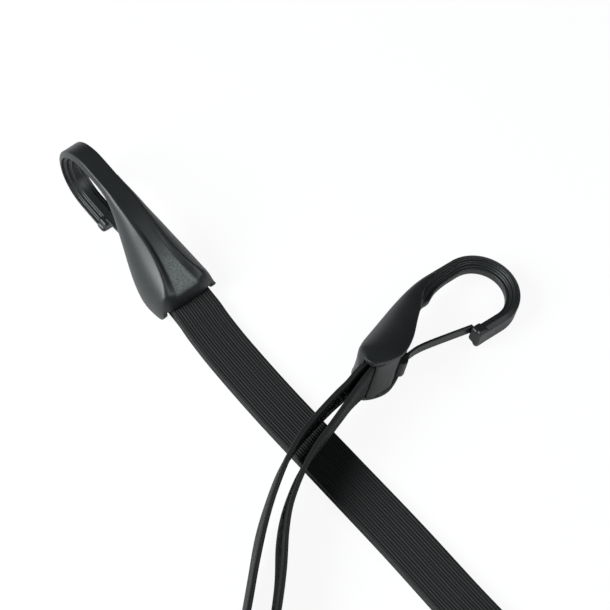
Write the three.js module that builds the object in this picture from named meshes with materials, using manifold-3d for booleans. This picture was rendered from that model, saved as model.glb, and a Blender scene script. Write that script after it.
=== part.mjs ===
// Flat bungee cord: two plies of ribbed elastic webbing between two moulded hooks.
// Millimetres, +Z up, lying on a table as it is laid down after use.
// Each hook is a nylon moulding with a leaf gate, an end plug and a steel clip on the webbing tails.
// A hook is drawn in its own frame: U from the mouth to the tip, V from the spine to the gate, W across.

import * as THREE from 'three';
import { mergeVertices } from 'three/addons/utils/BufferGeometryUtils.js';
import Module from 'manifold-3d';

const wasm = await Module();
wasm.setup();

// Webbing
const webbingWidth = 20;
const webbingThickness = 2.2;
const webbingEdgeChamfer = 0.5;
const plyGap = 0.3;
const crimpedWidth = 18.6;
const crimpedThickness = 1.7;

// Hook loop, a stepped T section bent round the bar that it catches
const loopWidth = 10.4;
const loopDepth = 5.7;
const flangeThickness = 2.5;
const flangeTaper = 0.8;
const flangeEdge = 0.4;
const stepDepth = 4;
const stepWidth = 7;
const ribWidth = 3.6;
const tipRadius = 17.9;
const tipCentreU = 69;
const spineTopV = -15.2;
const barSeatAngle = THREE.MathUtils.degToRad(18);
const noseEndU = 53.8;
const noseLength = 5;
const noseCornerRadius = 1.8;
const noseChamfer = 0.8;

// Hook body, a flared shell with two cheeks
const clipSideClearance = 0.5;
const cheekOverhang = 1.7;
const ridgeFlareEndU = 30;
const ridgeFlareCurve = 2.2;
const cheekFlareStartU = 10;
const cheekFlareEndU = 58;
const mouthTaper = 0.9;
const mouthTaperU = 7;
const mouthSpineV = 0.3;
const rimRun = 4.4;
const rimDrop = 5.4;
const spineBendU = 38.5;
const spineStraightU = 55;
const cheekMouthV = 7.2;
const cheekDepth = 13.2;
const cheekHeelU = 9;
const cheekToeU = 15.6;
const cheekRunoutU = 48.5;
const cheekRunoutV = -11.5;
const cheekShoulderRun = 0.3;
const cheekShoulderRise = 0.6;
const cheekShinRun = 0.27;
const cheekShinDrop = 0.165;
const cheekWall = 1.8;
const spineWall = 1.8;
const shoulderWall = 1.3;
const shoulderShare = 0.35;
const cheekBulge = 0.8;
const bodyEndU = 58;
const loopStartU = 45;
const pocketEndU = 24;
const webInset = 4;

// Raised pad on the spine with a valley on each side of it
const padStartU = 3.6;
const padEndU = 42;
const padBlend = 3;
const padFade = 16;
const padHeight = 0.6;
const padRidgeShare = 0.6;
const valleyDepth = 0.6;
const valleyRidgeShare = 0.82;

// Where the webbing runs inside the hook
const webbingMouthV = 8.6;
const webbingSlope = THREE.MathUtils.degToRad(8);
const mouthSlotClearance = 0.3;
const lipLength = 7.2;
const lipHeight = 5.4;
const tailLength = 13.8;

// Steel clip and its rivets
const clipStart = 7.8;
const clipLength = 5.4;
const clipWall = 0.7;
const clipClearance = 0.3;
const rivetRadius = 1.1;
const rivetHoleClearance = 0.25;
const rivetHeadRadius = 2;
const rivetHeadHeight = 0.5;
const rivetHeadGap = 0.05;
const rivetSpacing = 10;

// End plug and the rail that the gate hinges on
const seatClearance = 0.3;
const plugInset = 0.8;
const plugStartU = 5.8;
const plugHeelU = 15.4;
const plugEdgeStep = 1.7;
const railU = 18.6;
const railV = 11.7;
const railRadius = 1.1;
const railWebThickness = 0.9;
const railWebAngle = THREE.MathUtils.degToRad(235);

// Gate, a leaf with a wider curl that snaps on the rail
const curlWidth = 9.6;
const leafWidth = 5;
const leafThickness = 1.3;
const curlClearance = 0.3;
const curlThickness = 0.9;
const curlEndAngle = THREE.MathUtils.degToRad(178);
const leafRootAngle = THREE.MathUtils.degToRad(-52);
const leafOuterTurn = THREE.MathUtils.degToRad(52);
const leafInnerTurn = THREE.MathUtils.degToRad(-20);
const curlInnerTurn = THREE.MathUtils.degToRad(-29);
const leafNeckU = 24.5;
const leafNeckV = 9;
const leafBellyU = 33;
const leafBellyV = 9.1;
const gateOverlap = 2.2;
const gateStopClearance = 0.3;

// Where the two hooks lie on the table
const hookAMouth = new THREE.Vector2(-22.5, -38.3);
const hookAHeading = THREE.MathUtils.degToRad(182.9);
const hookBMouth = new THREE.Vector2(57.7, -10.4);
const hookBHeading = THREE.MathUtils.degToRad(92);
const hookBLean = THREE.MathUtils.degToRad(5.5);

// Facets
const spineSteps = 24;
const tipSteps = 10;
const cheekSteps = 6;
const rimSteps = 4;
const noseCornerSteps = 4;
const roundSides = 16;
const curlSteps = 9;
const leafSteps = 6;
const pocketStep = 4;
const webSteps = 4;
const cutOverrun = 1;
const webbingStepsPerPoint = 2;
const bisections = 40;
const weldDistance = 1e-4;

// The free webbing from mouth to mouth, as it lies: x, y, height of its lowest edge above the table,
// roll in degrees (0 lies flat, 90 stands on edge) and half the spacing of the two plies.
const tableGap = 0.2;
const stackedSpread = (webbingThickness + plyGap) / 2;
const webbingRoute = [
  [-15.5, -38.5, 0.3, 0, stackedSpread],
  [-7, -39.3, tableGap, 0, stackedSpread],
  [10, -40, tableGap, 0, stackedSpread],
  [40, -39.9, tableGap, 0, stackedSpread],
  [80, -38.5, tableGap, 0, stackedSpread],
  [118, -37.1, tableGap, 0, stackedSpread],
  [150, -36.6, tableGap, 0, stackedSpread],
  [184.4, -36.5, tableGap, 5, 1.8],
  [205.8, -40.7, tableGap, 16, 2.3],
  [224, -52.5, tableGap, 32, 2.9],
  [236.5, -70.3, tableGap, 47, 3.6],
  [241.4, -91.5, tableGap, 58, 4.2],
  [238, -113, tableGap, 66, 4.7],
  [226.8, -131.6, tableGap, 72, 5],
  [209.4, -144.7, tableGap, 76, 5.2],
  [188.4, -150.4, tableGap, 78, 5.3],
  [165.4, -146.6, tableGap, 79, 5.6],
  [145, -133.5, tableGap, 80, 5.7],
  [128.5, -117.5, tableGap, 80, 5.7],
  [113.8, -102.4, tableGap, 80, 5.6],
  [102.1, -90.9, 0.6, 80, 5.3],
  [90.5, -80, 2, 78, 4.3],
  [82.2, -70.4, 3.8, 77, 3.7],
  [74.3, -58.5, 5.6, 76, 3.7],
  [69.4, -48.8, 6, 77, 3.7],
  [65.6, -38.2, 5.8, 78, 3.5],
  [61.6, -25.5, 5.6, 79, 2.8],
  [59.5, -18, 5.6, 80, 2.2],
];

const nylon = { color: 0x1f2122, roughness: 0.55, metalness: 0 };
const acetal = { color: 0x26282a, roughness: 0.4, metalness: 0 };
const elastic = { color: 0x17181a, roughness: 0.85, metalness: 0 };
const steel = { color: 0xb4b6b8, roughness: 0.35, metalness: 1 };

// Sizes that follow from the ones above
const tipCentreV = spineTopV + tipRadius;
const armOuterV = tipCentreV + tipRadius;
const armInnerV = armOuterV - loopDepth;
const curlInner = railRadius + curlClearance;
const curlOuter = curlInner + curlThickness;
const clipInnerHeight = 2 * crimpedThickness + plyGap + 2 * clipClearance;
const clipOuterHeight = clipInnerHeight + 2 * clipWall;
const clipInnerWidth = crimpedWidth + 2 * clipClearance;
const clipOuterWidth = clipInnerWidth + 2 * clipWall;
const mouthSlotHeight = 2 * webbingThickness + plyGap + 2 * mouthSlotClearance;
const spineMouthWidth = clipOuterWidth + 2 * clipSideClearance + 2 * cheekWall;
const cheekMouthWidth = spineMouthWidth + 2 * cheekOverhang;

const spineCurve = new THREE.QuadraticBezierCurve(
  new THREE.Vector2(0, mouthSpineV),
  new THREE.Vector2(spineBendU, spineTopV),
  new THREE.Vector2(spineStraightU, spineTopV),
);
const cheekCurve = new THREE.SplineCurve([
  new THREE.Vector2(0, cheekMouthV),
  new THREE.Vector2(
    cheekShoulderRun * cheekHeelU,
    cheekMouthV + cheekShoulderRise * (cheekDepth - cheekMouthV),
  ),
  new THREE.Vector2(cheekHeelU, cheekDepth),
  new THREE.Vector2(cheekToeU, cheekDepth),
  new THREE.Vector2(
    cheekToeU + cheekShinRun * (cheekRunoutU - cheekToeU),
    cheekDepth + cheekShinDrop * (cheekRunoutV - cheekDepth),
  ),
  new THREE.Vector2(cheekRunoutU, cheekRunoutV),
]);

// V of a curve that runs along U, found at a given U
function curveV(curve, u) {
  let low = 0;
  let high = 1;
  for (let i = 0; i < bisections; i++) {
    const middle = (low + high) / 2;
    if (curve.getPoint(middle).x < u) low = middle;
    else high = middle;
  }
  return curve.getPoint(low).y;
}

function spineV(u) {
  return curveV(spineCurve, u);
}

// The outside of the spine, which rolls over at the rim of the mouth
function rimV(u) {
  const reach = 1 - Math.min(1, u / rimRun);
  return spineV(u) + rimDrop * (1 - Math.sqrt(1 - reach ** 2));
}

function cheekV(u) {
  return curveV(cheekCurve, u);
}

function webbingV(u) {
  return webbingMouthV - u * Math.tan(webbingSlope);
}

// Half-width of the flat along the spine, a narrow strip that flares at the mouth
function ridgeHalfWidth(u) {
  const share = Math.max(0, 1 - u / ridgeFlareEndU) ** ridgeFlareCurve;
  return THREE.MathUtils.lerp(loopWidth / 2 - flangeTaper, spineMouthWidth / 2, share);
}

// Half-width of the body at the gate side
function cheekHalfWidth(u) {
  const share = 1 - THREE.MathUtils.smoothstep(u, cheekFlareStartU, cheekFlareEndU);
  const taper = mouthTaper * (1 - THREE.MathUtils.smoothstep(u, 0, mouthTaperU));
  return THREE.MathUtils.lerp(loopWidth, cheekMouthWidth, share) / 2 - taper;
}

function toSolid(geometry) {
  geometry.deleteAttribute('normal');
  geometry.deleteAttribute('uv');
  const merged = mergeVertices(geometry, weldDistance);
  return new wasm.Manifold(new wasm.Mesh({
    numProp: 3,
    vertProperties: new Float32Array(merged.attributes.position.array),
    triVerts: new Uint32Array(merged.index.array),
  }));
}

function toMesh(name, solid, look) {
  const { vertProperties, triVerts } = solid.getMesh();
  const geometry = new THREE.BufferGeometry();
  geometry.setAttribute('position', new THREE.BufferAttribute(vertProperties, 3));
  geometry.setIndex(new THREE.BufferAttribute(triVerts, 1));
  geometry.computeVertexNormals();
  const mesh = new THREE.Mesh(geometry, new THREE.MeshStandardMaterial(look));
  mesh.name = name;
  return mesh;
}

// Unit normal of a ring by the sum of its corners' cross products
function ringNormal(ring) {
  const normal = new THREE.Vector3();
  ring.forEach((point, i) => {
    const next = ring[(i + 1) % ring.length];
    normal.add(point.clone().sub(ring[0]).cross(next.clone().sub(ring[0])));
  });
  return normal.normalize();
}

// A closed skin over a row of rings of equally many points, capped at both ends
function loft(row) {
  const forward = row[1][0].clone().sub(row[0][0]);
  const turned = ringNormal(row[0]).dot(forward) < 0;
  const rings = turned ? row.map((ring) => ring.slice().reverse()) : row;
  const count = rings[0].length;
  const positions = rings.flat().flatMap((point) => [point.x, point.y, point.z]);
  const index = [];
  for (let ring = 0; ring + 1 < rings.length; ring++) {
    for (let i = 0; i < count; i++) {
      const a = ring * count + i;
      const b = ring * count + ((i + 1) % count);
      index.push(a, b, b + count, a, b + count, a + count);
    }
  }
  for (const [a, b, c] of capTriangles(rings[0])) index.push(c, b, a);
  const last = (rings.length - 1) * count;
  for (const [a, b, c] of capTriangles(rings.at(-1))) index.push(last + a, last + b, last + c);
  const geometry = new THREE.BufferGeometry();
  geometry.setAttribute('position', new THREE.Float32BufferAttribute(positions, 3));
  geometry.setIndex(index);
  return toSolid(geometry);
}

// Triangles over a flat ring, drawn on a plane of its own
function capTriangles(ring) {
  const across = ring[1].clone().sub(ring[0]).normalize();
  const up = ringNormal(ring).cross(across);
  const flat = ring.map((point) => new THREE.Vector2(point.dot(across), point.dot(up)));
  return THREE.ShapeUtils.triangulateShape(flat, []);
}

// A U-V outline made solid across W
function prism(points, width, chamfer = 0) {
  const geometry = new THREE.ExtrudeGeometry(new THREE.Shape(points), {
    depth: width - 2 * chamfer,
    bevelEnabled: chamfer > 0,
    bevelSize: chamfer,
    bevelOffset: -chamfer,
    bevelThickness: chamfer,
    bevelSegments: 1,
  });
  geometry.translate(0, 0, chamfer - width / 2);
  return toSolid(geometry);
}

// A round bar across W
function crossBar(radius, width, u, v) {
  const geometry = new THREE.CylinderGeometry(radius, radius, width, roundSides);
  geometry.rotateX(Math.PI / 2);
  geometry.translate(u, v, 0);
  return toSolid(geometry);
}

// Points of an arc, angles measured from +U towards +V
function arc(u, v, radius, from, to, steps) {
  return Array.from({ length: steps + 1 }, (_, i) => {
    const angle = THREE.MathUtils.lerp(from, to, i / steps);
    return new THREE.Vector2(u + radius * Math.cos(angle), v + radius * Math.sin(angle));
  });
}

// Places along the loop's outer face, each with its way into the loop, from the body round the tip
// to the nose. The middle facet of the tip is the flat that a bar bears on.
function loopPath() {
  const path = [];
  for (let i = 0; i <= spineSteps; i++) {
    const place = spineCurve.getPoint(i / spineSteps);
    const along = spineCurve.getTangent(i / spineSteps);
    if (place.x >= loopStartU) path.push({ place, inward: new THREE.Vector2(-along.y, along.x) });
  }
  const half = barSeatAngle / 2;
  const turns = [
    ...arc(0, 0, -1, -Math.PI / 2, -half, tipSteps),
    ...arc(0, 0, -1, half, Math.PI / 2, tipSteps),
  ];
  for (const inward of turns) {
    const place = new THREE.Vector2(tipCentreU, tipCentreV).addScaledVector(inward, -tipRadius);
    path.push({ place, inward });
  }
  const noseU = noseEndU + noseLength / 2;
  path.push({ place: new THREE.Vector2(noseU, armOuterV), inward: new THREE.Vector2(0, -1) });
  return path;
}

// The loop's cross-section: a flange with tapered sides, a step and a rib towards the inside
function loopSection({ place, inward }) {
  const half = loopWidth / 2;
  const side = [
    [0, half - flangeTaper],
    [flangeThickness - flangeEdge, half],
    [flangeThickness, half - flangeEdge],
    [flangeThickness, stepWidth / 2],
    [stepDepth, stepWidth / 2],
    [stepDepth, ribWidth / 2],
    [loopDepth, ribWidth / 2],
  ];
  const rim = [...side, ...side.map(([depth, w]) => [depth, -w]).reverse()];
  return rim.map(([depth, w]) => {
    const at = place.clone().addScaledVector(inward, depth);
    return new THREE.Vector3(at.x, at.y, w);
  });
}

// The solid end of the nose that the leaf closes against, with a rounded outer corner
function noseBlock() {
  const cornerU = noseEndU + noseCornerRadius;
  const cornerV = armOuterV - noseCornerRadius;
  const backU = noseEndU + noseLength;
  return prism([
    new THREE.Vector2(backU, armOuterV),
    ...arc(cornerU, cornerV, noseCornerRadius, Math.PI / 2, Math.PI, noseCornerSteps),
    new THREE.Vector2(noseEndU, armInnerV),
    new THREE.Vector2(backU, armInnerV),
  ], loopWidth, noseChamfer);
}

// The gate-side edge of the body, which runs out into the loop's flange
function bodyEdgeV(u) {
  const runout = THREE.MathUtils.smoothstep(u, cheekRunoutU, bodyEndU);
  const edge = cheekV(Math.min(u, cheekRunoutU));
  return THREE.MathUtils.lerp(edge, spineTopV + flangeThickness, runout);
}

// A place on a cheek's outside as half-width and V: share 0 is at the spine's flat, 1 at the edge
function cheekPlace(u, share) {
  const top = rimV(u);
  const bottom = bodyEdgeV(u);
  const half = cheekHalfWidth(u);
  const bulge = cheekBulge * (bottom - top) / cheekDepth;
  return new THREE.QuadraticBezierCurve(
    new THREE.Vector2(ridgeHalfWidth(u), top),
    new THREE.Vector2(half + bulge, THREE.MathUtils.lerp(top, bottom, shoulderShare)),
    new THREE.Vector2(half, bottom),
  ).getPoint(share);
}

// One cross-section of the body's outside, with the pad and its valleys on the spine
function bodySection(u) {
  const rise = THREE.MathUtils.smoothstep(u, padStartU, padStartU + padBlend);
  const fade = 1 - THREE.MathUtils.smoothstep(u, padEndU - padFade, padEndU);
  const relief = rise * fade;
  const top = rimV(u);
  const ridge = ridgeHalfWidth(u);
  const side = [
    new THREE.Vector2(padRidgeShare * ridge, top - padHeight * relief),
    new THREE.Vector2(valleyRidgeShare * ridge, top + valleyDepth * relief),
  ];
  for (let i = 0; i <= cheekSteps; i++) side.push(cheekPlace(u, i / cheekSteps));
  const near = side.map((point) => new THREE.Vector3(u, point.y, point.x));
  const far = side.map((point) => new THREE.Vector3(u, point.y, -point.x)).reverse();
  return [...near, ...far];
}

// The hollow between the cheeks that takes the plug, open at the mouth and on the gate side
function pocket(shrink) {
  const stations = [-cutOverrun];
  for (let u = 0; u < pocketEndU - pocketStep / 2; u += pocketStep) stations.push(u);
  stations.push(pocketEndU - shrink);
  return loft(stations.map((u) => {
    const inside = Math.max(0, u);
    const shoulder = cheekPlace(inside, shoulderShare);
    const roof = spineV(inside) + spineWall + shrink;
    const roofHalf = ridgeHalfWidth(inside) - shrink;
    const shoulderV = Math.max(shoulder.y, roof + shoulderWall);
    const shoulderHalf = shoulder.x - shoulderWall - shrink;
    const floorHalf = cheekHalfWidth(inside) - cheekWall - shrink;
    const floor = 2 * cheekDepth;
    const slant = (floorHalf - shoulderHalf) * (floor - shoulderV) / (cheekDepth - shoulderV);
    const side = [[roofHalf, roof], [shoulderHalf, shoulderV], [shoulderHalf + slant, floor]];
    const near = side.map(([w, v]) => new THREE.Vector3(u, v, w));
    const far = side.map(([w, v]) => new THREE.Vector3(u, v, -w)).reverse();
    return [...near, ...far];
  }));
}

// The step between the cheeks on the gate side, where the opened leaf swings in
function webStep() {
  const startU = pocketEndU - cutOverrun;
  const endU = cheekRunoutU + cutOverrun;
  const stations = [];
  for (let i = 0; i <= webSteps; i++) stations.push(THREE.MathUtils.lerp(startU, endU, i / webSteps));
  return loft(stations.map((u) => {
    const half = cheekHalfWidth(u) - cheekWall;
    const edge = cheekV(Math.min(u, cheekRunoutU));
    const roof = Math.max(edge - webInset, spineV(u) + loopDepth);
    const floor = Math.max(edge, roof) + webInset;
    return [
      new THREE.Vector3(u, roof, -half),
      new THREE.Vector3(u, roof, half),
      new THREE.Vector3(u, floor, half),
      new THREE.Vector3(u, floor, -half),
    ];
  }));
}

function hookBody(name) {
  const stations = arc(rimRun, 0, rimRun, Math.PI, Math.PI / 2, rimSteps).map((point) => point.x);
  for (let i = 0; i <= spineSteps; i++) {
    const u = spineCurve.getPoint(i / spineSteps).x;
    if (u > stations.at(-1) && u < bodyEndU) stations.push(u);
  }
  stations.push(bodyEndU);
  // The lip at the mouth leaves only the slot for the two plies, so the clip behind it can't pull out
  const lip = new THREE.BoxGeometry(2 * lipLength, lipHeight, cheekMouthWidth);
  lip.translate(0, -(mouthSlotHeight + lipHeight) / 2, 0);
  const outside = loft(stations.map(bodySection));
  const body = outside
    .subtract(pocket(0))
    .add(alongWebbing(lip).intersect(outside))
    .subtract(webStep())
    .add(loft(loopPath().map(loopSection)))
    .add(noseBlock());
  return toMesh(name, body, nylon);
}

// The plug closes the gate side of the pocket under the clip and stops the clip from behind
function endPlug(name) {
  const slotFloor = mouthSlotHeight / 2;
  const clipFloor = clipOuterHeight / 2 + rivetHeadHeight + seatClearance;
  const clipStopU = tailLength + 2 * seatClearance;
  const innerEndU = pocketEndU - seatClearance;
  const lipEndU = clipStart - 2 * seatClearance;
  const edge = [];
  for (let u = plugHeelU; u > plugStartU; u -= plugEdgeStep) {
    edge.push(new THREE.Vector2(u, cheekV(u) - plugInset));
  }
  const outline = [
    new THREE.Vector2(plugStartU, webbingV(plugStartU) + slotFloor),
    new THREE.Vector2(lipEndU, webbingV(lipEndU) + slotFloor),
    new THREE.Vector2(lipEndU, webbingV(lipEndU) + clipFloor),
    new THREE.Vector2(clipStopU, webbingV(clipStopU) + clipFloor),
    new THREE.Vector2(clipStopU, spineTopV),
    new THREE.Vector2(innerEndU, spineTopV),
    new THREE.Vector2(innerEndU, cheekV(innerEndU) - webInset),
    new THREE.Vector2(plugHeelU, cheekV(plugHeelU) - webInset - plugInset),
    ...edge,
    new THREE.Vector2(plugStartU, cheekV(plugStartU) - plugInset),
  ];
  const reach = curlOuter + 2 * seatClearance;
  const recessWidth = curlWidth + 2 * reach;
  const webLength = Math.hypot(railU - plugHeelU, webInset);
  const web = new THREE.BoxGeometry(webLength, railWebThickness, curlWidth);
  web.translate(webLength / 2, 0, 0);
  web.rotateZ(railWebAngle);
  web.translate(railU, railV, 0);
  const plug = prism(outline, cheekMouthWidth)
    .intersect(pocket(seatClearance))
    .subtract(crossBar(reach, recessWidth, railU, railV))
    .add(crossBar(railRadius, curlWidth, railU, railV))
    .add(toSolid(web));
  return toMesh(name, plug, nylon);
}

// The gate: the curl goes round the rail from the mouth side to the leaf's root,
// then the narrower leaf runs along the throat to its tip inside the nose.
function gate(name) {
  const tipU = noseEndU + gateOverlap;
  const tipV = armInnerV - gateStopClearance;
  const outerFace = new THREE.SplineCurve([
    new THREE.Vector2(leafNeckU, leafNeckV + leafThickness),
    new THREE.Vector2(leafBellyU, leafBellyV + leafThickness),
    new THREE.Vector2(tipU, tipV),
  ]).getPoints(leafSteps);
  const innerFace = outerFace.map((point) => new THREE.Vector2(point.x, point.y - leafThickness));
  const outerTurn = leafRootAngle + leafOuterTurn;
  const innerTurn = leafRootAngle + curlInnerTurn;
  const curl = prism([
    ...arc(railU, railV, curlOuter, curlEndAngle, innerTurn, curlSteps),
    ...arc(railU, railV, curlInner, innerTurn, curlEndAngle, curlSteps),
  ], curlWidth);
  const leaf = prism([
    ...outerFace,
    ...innerFace.reverse(),
    ...arc(railU, railV, curlOuter, leafRootAngle + leafInnerTurn, innerTurn, 1),
    ...arc(railU, railV, curlInner + curlThickness / 2, innerTurn, outerTurn, curlSteps),
    new THREE.Vector2(railU + curlOuter * Math.cos(outerTurn), railV + curlOuter * Math.sin(outerTurn)),
  ], leafWidth);
  return toMesh(name, curl.add(leaf), acetal);
}

// Places a piece that is drawn along the webbing inside the hook: x inwards, y towards the gate
function alongWebbing(geometry, placement = new THREE.Matrix4()) {
  geometry.rotateZ(-webbingSlope);
  geometry.translate(0, webbingMouthV, 0);
  return toSolid(geometry.applyMatrix4(placement));
}

function rivetPlaces() {
  return [-rivetSpacing / 2, rivetSpacing / 2];
}

function rivetShank(radius, height, w) {
  const geometry = new THREE.CylinderGeometry(radius, radius, height, roundSides);
  geometry.translate(clipStart + clipLength / 2, 0, w);
  return geometry;
}

function webbingClip(name) {
  const outer = new THREE.BoxGeometry(clipLength, clipOuterHeight, clipOuterWidth);
  const inner = new THREE.BoxGeometry(2 * clipLength, clipInnerHeight, clipInnerWidth);
  for (const box of [outer, inner]) box.translate(clipStart + clipLength / 2, 0, 0);
  let clip = alongWebbing(outer).subtract(alongWebbing(inner));
  for (const w of rivetPlaces()) {
    const hole = rivetShank(rivetRadius + rivetHoleClearance, 2 * clipOuterHeight, w);
    clip = clip.subtract(alongWebbing(hole));
  }
  return toMesh(name, clip, steel);
}

function clipRivet(name, w) {
  const headPlace = (clipOuterHeight + rivetHeadHeight) / 2 + rivetHeadGap;
  let rivet = alongWebbing(rivetShank(rivetRadius, clipOuterHeight + rivetHeadHeight, w));
  for (const side of [-1, 1]) {
    const head = rivetShank(rivetHeadRadius, rivetHeadHeight, w);
    head.translate(0, side * headPlace, 0);
    rivet = rivet.add(alongWebbing(head));
  }
  return toMesh(name, rivet, steel);
}

function hook(letter) {
  const group = new THREE.Group();
  group.add(
    hookBody(`hook_body_${letter}`),
    endPlug(`end_plug_${letter}`),
    gate(`gate_${letter}`),
    webbingClip(`webbing_clip_${letter}`),
    ...rivetPlaces().map((w, i) => clipRivet(`clip_rivet_${letter}${i + 1}`, w)),
  );
  return group;
}

// Sets a hook by its U and V directions, with the middle of its mouth over a point of the table
// and its lowest point on the table
function lay(group, along, across, mouth) {
  const sideways = along.clone().cross(across);
  group.setRotationFromMatrix(new THREE.Matrix4().makeBasis(along, across, sideways));
  const middle = across.clone().multiplyScalar(webbingMouthV);
  group.position.set(mouth.x - middle.x, mouth.y - middle.y, 0);
  group.updateMatrixWorld(true);
  group.position.z = -new THREE.Box3().setFromObject(group, true).min.z;
  group.updateMatrixWorld(true);
}

// Hook A stands on its nose and the heels of its cheeks, with the spine up
const up = new THREE.Vector3(0, 0, 1);
const hookA = hook('a');
const pitch = Math.atan2(armOuterV - cheekDepth, noseEndU + noseCornerRadius - cheekHeelU);
const headingA = new THREE.Vector3(Math.cos(hookAHeading), Math.sin(hookAHeading), 0);
lay(
  hookA,
  headingA.clone().multiplyScalar(Math.cos(pitch)).addScaledVector(up, Math.sin(pitch)),
  headingA.clone().multiplyScalar(Math.sin(pitch)).addScaledVector(up, -Math.cos(pitch)),
  hookAMouth,
);

// Hook B lies on the edge of a cheek and the side of the loop, so its tip dips.
// The twist of the webbing holds it leaning a little to the gate side.
const hookB = hook('b');
const touchU = tipCentreU + tipRadius * Math.SQRT1_2;
const touchV = tipCentreV + tipRadius * Math.SQRT1_2;
const cheekDrop = cheekHalfWidth(cheekToeU) * Math.cos(hookBLean) + cheekDepth * Math.sin(hookBLean);
const loopDrop = loopWidth / 2 * Math.cos(hookBLean) + touchV * Math.sin(hookBLean);
const dip = Math.atan2(cheekDrop - loopDrop, touchU - cheekToeU);
const headingB = new THREE.Vector3(Math.cos(hookBHeading), Math.sin(hookBHeading), 0);
const alongB = headingB.clone().multiplyScalar(Math.cos(dip)).addScaledVector(up, -Math.sin(dip));
lay(hookB, alongB, headingB.clone().cross(up).applyAxisAngle(alongB, hookBLean), hookBMouth);

// A station of the webbing inside a hook, at a depth behind the mouth
function tailStation(group, depth) {
  const crimped = depth > 0;
  const place = new THREE.Vector3(
    depth * Math.cos(webbingSlope),
    webbingMouthV - depth * Math.sin(webbingSlope),
    0,
  );
  const normal = new THREE.Vector3(-Math.sin(webbingSlope), -Math.cos(webbingSlope), 0);
  const thickness = crimped ? crimpedThickness : webbingThickness;
  return {
    place: place.applyMatrix4(group.matrixWorld),
    normal: normal.transformDirection(group.matrixWorld),
    sizes: new THREE.Vector3(
      (thickness + plyGap) / 2,
      crimped ? crimpedWidth : webbingWidth,
      thickness,
    ),
  };
}

// A station of the free webbing, from the route's list
function routeStation(index) {
  const [x, y, lift, rollDegrees, spread] = webbingRoute[index];
  const before = webbingRoute[Math.max(0, index - 1)];
  const after = webbingRoute[Math.min(webbingRoute.length - 1, index + 1)];
  const along = new THREE.Vector3(after[0] - before[0], after[1] - before[1], 0).normalize();
  const left = up.clone().cross(along);
  const roll = THREE.MathUtils.degToRad(rollDegrees);
  const flatShare = (spread + webbingThickness / 2) * Math.cos(roll);
  const height = lift + webbingWidth / 2 * Math.sin(roll) + flatShare;
  return {
    place: new THREE.Vector3(x, y, height),
    normal: up.clone().multiplyScalar(Math.cos(roll)).addScaledVector(left, Math.sin(roll)),
    sizes: new THREE.Vector3(spread, webbingWidth, webbingThickness),
  };
}

const tailDepths = [tailLength, clipStart, clipStart / 2, 0];
const stations = [
  ...tailDepths.map((depth) => tailStation(hookA, depth)),
  ...webbingRoute.map((_, index) => routeStation(index)),
  ...tailDepths.map((depth) => tailStation(hookB, depth)).reverse(),
];

// One ply: a flat bar with chamfered edges swept along the stations, on one side of the middle line
function webbingPly(name, side) {
  const places = new THREE.CatmullRomCurve3(stations.map((one) => one.place), false, 'catmullrom');
  const normals = new THREE.CatmullRomCurve3(stations.map((one) => one.normal), false, 'catmullrom');
  const sizes = new THREE.CatmullRomCurve3(stations.map((one) => one.sizes), false, 'catmullrom');
  const steps = (stations.length - 1) * webbingStepsPerPoint;
  const rings = [];
  for (let i = 0; i <= steps; i++) {
    const at = i / steps;
    const along = places.getTangent(at);
    const across = along.clone().cross(normals.getPoint(at)).normalize();
    const normal = across.clone().cross(along);
    const { x: spread, y: width, z: thickness } = sizes.getPoint(at);
    const centre = places.getPoint(at).addScaledVector(normal, side * spread);
    const a = width / 2;
    const b = thickness / 2;
    const c = webbingEdgeChamfer;
    const section = [
      [a - c, -b], [a, c - b], [a, b - c], [a - c, b],
      [c - a, b], [-a, b - c], [-a, c - b], [c - a, -b],
    ];
    rings.push(section.map(([w, t]) => (
      centre.clone().addScaledVector(across, w).addScaledVector(normal, t)
    )));
  }
  let ply = loft(rings);
  for (const group of [hookA, hookB]) {
    for (const w of rivetPlaces()) {
      const hole = rivetShank(rivetRadius + rivetHoleClearance, 2 * clipOuterHeight, w);
      ply = ply.subtract(alongWebbing(hole, group.matrixWorld));
    }
  }
  return toMesh(name, ply, elastic);
}

const bungee = new THREE.Group();
bungee.add(hookA, hookB, webbingPly('webbing_outer', 1), webbingPly('webbing_inner', -1));

// The origin lies on the table under the middle of the two hooks
const boxA = new THREE.Box3().setFromObject(hookA, true);
const boxB = new THREE.Box3().setFromObject(hookB, true);
const middle = boxA.union(boxB).getCenter(new THREE.Vector3());
bungee.position.set(-middle.x, -middle.y, 0);

export default bungee;
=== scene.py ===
from math import cos, pi, radians, sin, tan

import bmesh
import bpy
import numpy as np
from mathutils import Matrix, Vector


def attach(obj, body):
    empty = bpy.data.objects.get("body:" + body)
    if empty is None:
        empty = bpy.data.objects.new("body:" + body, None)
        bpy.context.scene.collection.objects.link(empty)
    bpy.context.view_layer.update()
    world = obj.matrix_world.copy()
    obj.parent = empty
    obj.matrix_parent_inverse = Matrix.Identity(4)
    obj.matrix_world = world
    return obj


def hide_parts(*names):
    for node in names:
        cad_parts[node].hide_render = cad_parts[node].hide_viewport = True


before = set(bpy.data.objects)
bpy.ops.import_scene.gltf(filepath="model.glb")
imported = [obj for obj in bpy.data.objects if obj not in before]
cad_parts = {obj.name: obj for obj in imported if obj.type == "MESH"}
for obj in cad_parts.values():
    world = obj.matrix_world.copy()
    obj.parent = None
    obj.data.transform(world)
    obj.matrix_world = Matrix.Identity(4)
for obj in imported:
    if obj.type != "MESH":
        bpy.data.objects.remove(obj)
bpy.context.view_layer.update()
scene = bpy.context.scene
scene.view_settings.view_transform = "Standard"


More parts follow.
